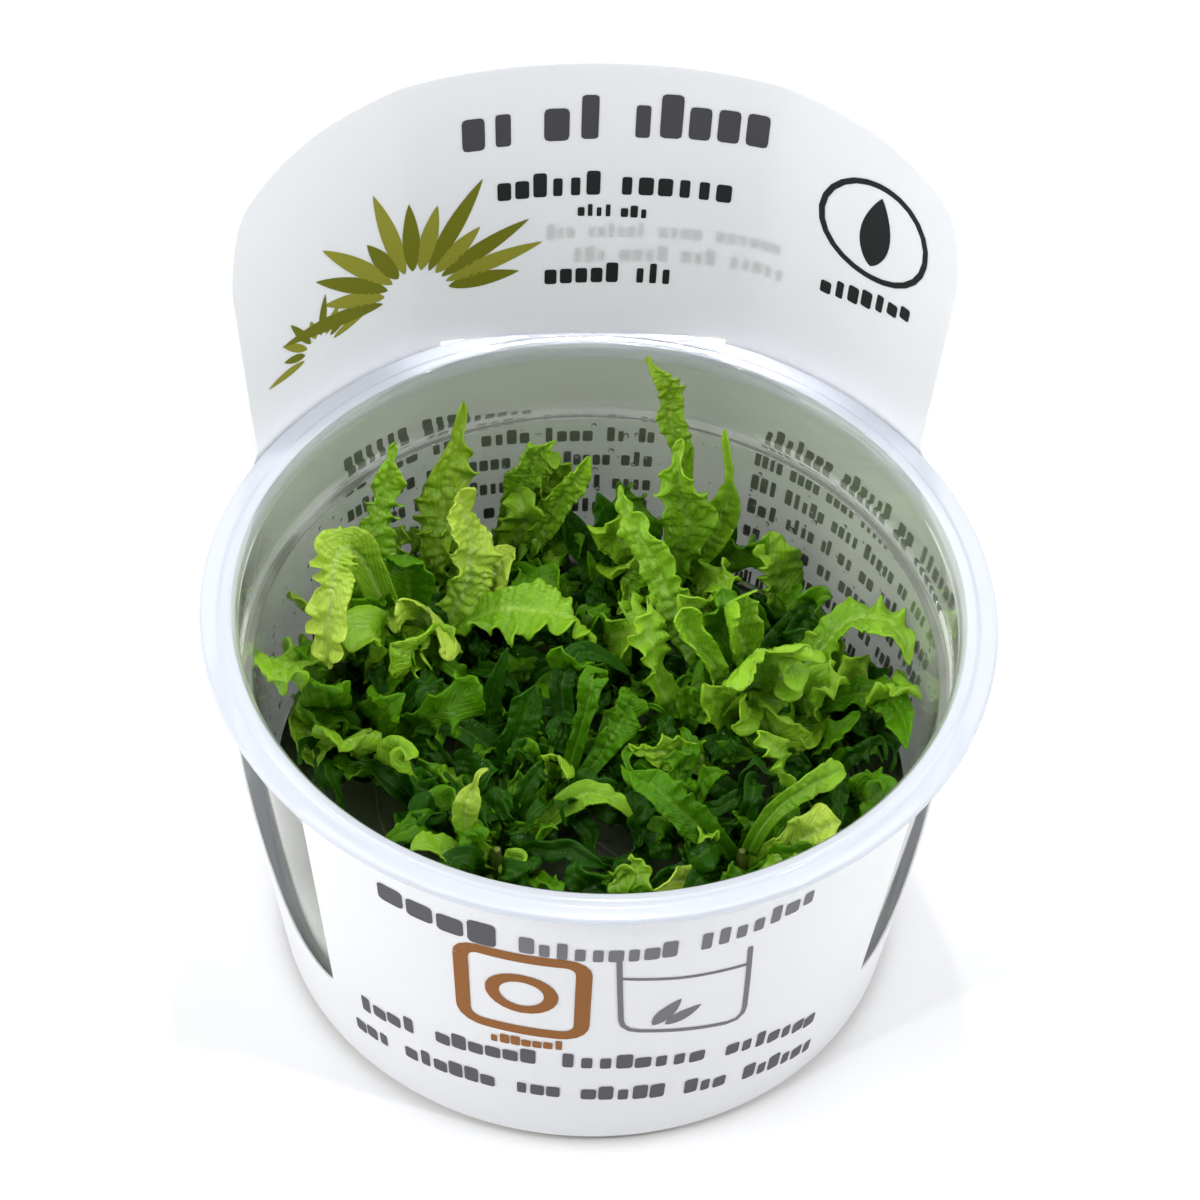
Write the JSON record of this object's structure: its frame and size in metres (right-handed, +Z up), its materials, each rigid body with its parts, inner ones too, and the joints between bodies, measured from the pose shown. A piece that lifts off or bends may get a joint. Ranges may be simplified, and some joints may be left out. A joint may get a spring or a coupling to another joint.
{
  "type": "tissue culture aquarium plant in its cup",
  "caption": "Ruffled green downoi plantlets growing in clear jelly in an open tapered plastic cup with a white die-cut sleeve and a tall rounded rear tab.",
  "frame": {"origin": "centre of the cup's flat base", "axes": "+Z up along the cup's axis, +Y towards the sleeve's tall tab, -Y towards the label side"},
  "size_m": [0.108, 0.1113, 0.1102],
  "materials": {
    "clear_plastic": "clear, slightly milky",
    "printed_sheet": "satin white printed film",
    "clear_jelly": "clear wet jelly",
    "pale_stem": "plant stem",
    "pale_leaf": "young leaf",
    "lime_leaf": "leaf",
    "olive_leaf": "leaf",
    "mid_leaf": "leaf",
    "dark_leaf": "old leaf"
  },
  "bodies": {
    "root": {"crown_back": "pale_stem", "crown_back_left": "pale_stem", "crown_centre": "pale_stem", "crown_front_left": "pale_stem", "crown_front_right": "pale_stem", "crown_left": "pale_stem", "crown_right": "pale_stem", "cup": "clear_plastic", "jelly": "clear_jelly", "leaf_back_blade": "dark_leaf", "leaf_back_curl": "lime_leaf", "leaf_back_dark": "dark_leaf", "leaf_back_left_long": "lime_leaf", "leaf_back_left_low": "dark_leaf", "leaf_back_left_side": "lime_leaf", "leaf_back_left_split": "lime_leaf", "leaf_back_low": "mid_leaf", "leaf_back_side": "lime_leaf", "leaf_back_star": "pale_leaf", "leaf_back_strap": "dark_leaf", "leaf_back_tall": "olive_leaf", "leaf_centre_arch": "dark_leaf", "leaf_centre_blade": "dark_leaf", "leaf_centre_forked": "lime_leaf", "leaf_centre_hooked": "mid_leaf", "leaf_centre_left": "dark_leaf", "leaf_centre_low": "dark_leaf", "leaf_centre_ruffled": "mid_leaf", "leaf_centre_shade": "dark_leaf", "leaf_front_left_blade": "pale_leaf", "leaf_front_left_hoop": "lime_leaf", "leaf_front_left_rim": "lime_leaf", "leaf_front_right_big": "mid_leaf", "leaf_front_right_low": "pale_leaf", "leaf_front_right_pale": "pale_leaf", "leaf_front_right_thin": "lime_leaf", "leaf_left_arching": "pale_leaf", "leaf_left_broad": "lime_leaf", "leaf_left_curled": "pale_leaf", "leaf_left_folded": "mid_leaf", "leaf_left_front": "lime_leaf", "leaf_left_hood": "pale_leaf", "leaf_left_narrow": "pale_leaf", "leaf_left_shaded": "olive_leaf", "leaf_left_speckled": "olive_leaf", "leaf_left_tall": "olive_leaf", "leaf_left_upright": "lime_leaf", "leaf_left_wall": "lime_leaf", "leaf_right_broad": "dark_leaf", "leaf_right_crinkled": "lime_leaf", "leaf_right_dark": "dark_leaf", "leaf_right_forward": "lime_leaf", "leaf_right_hooded": "lime_leaf", "leaf_right_long": "lime_leaf", "leaf_right_outer": "mid_leaf", "leaf_right_reaching": "lime_leaf", "leaf_right_spoon": "pale_leaf", "leaf_right_wavy": "mid_leaf", "sleeve": "printed_sheet"}
  },
  "joints": []
}
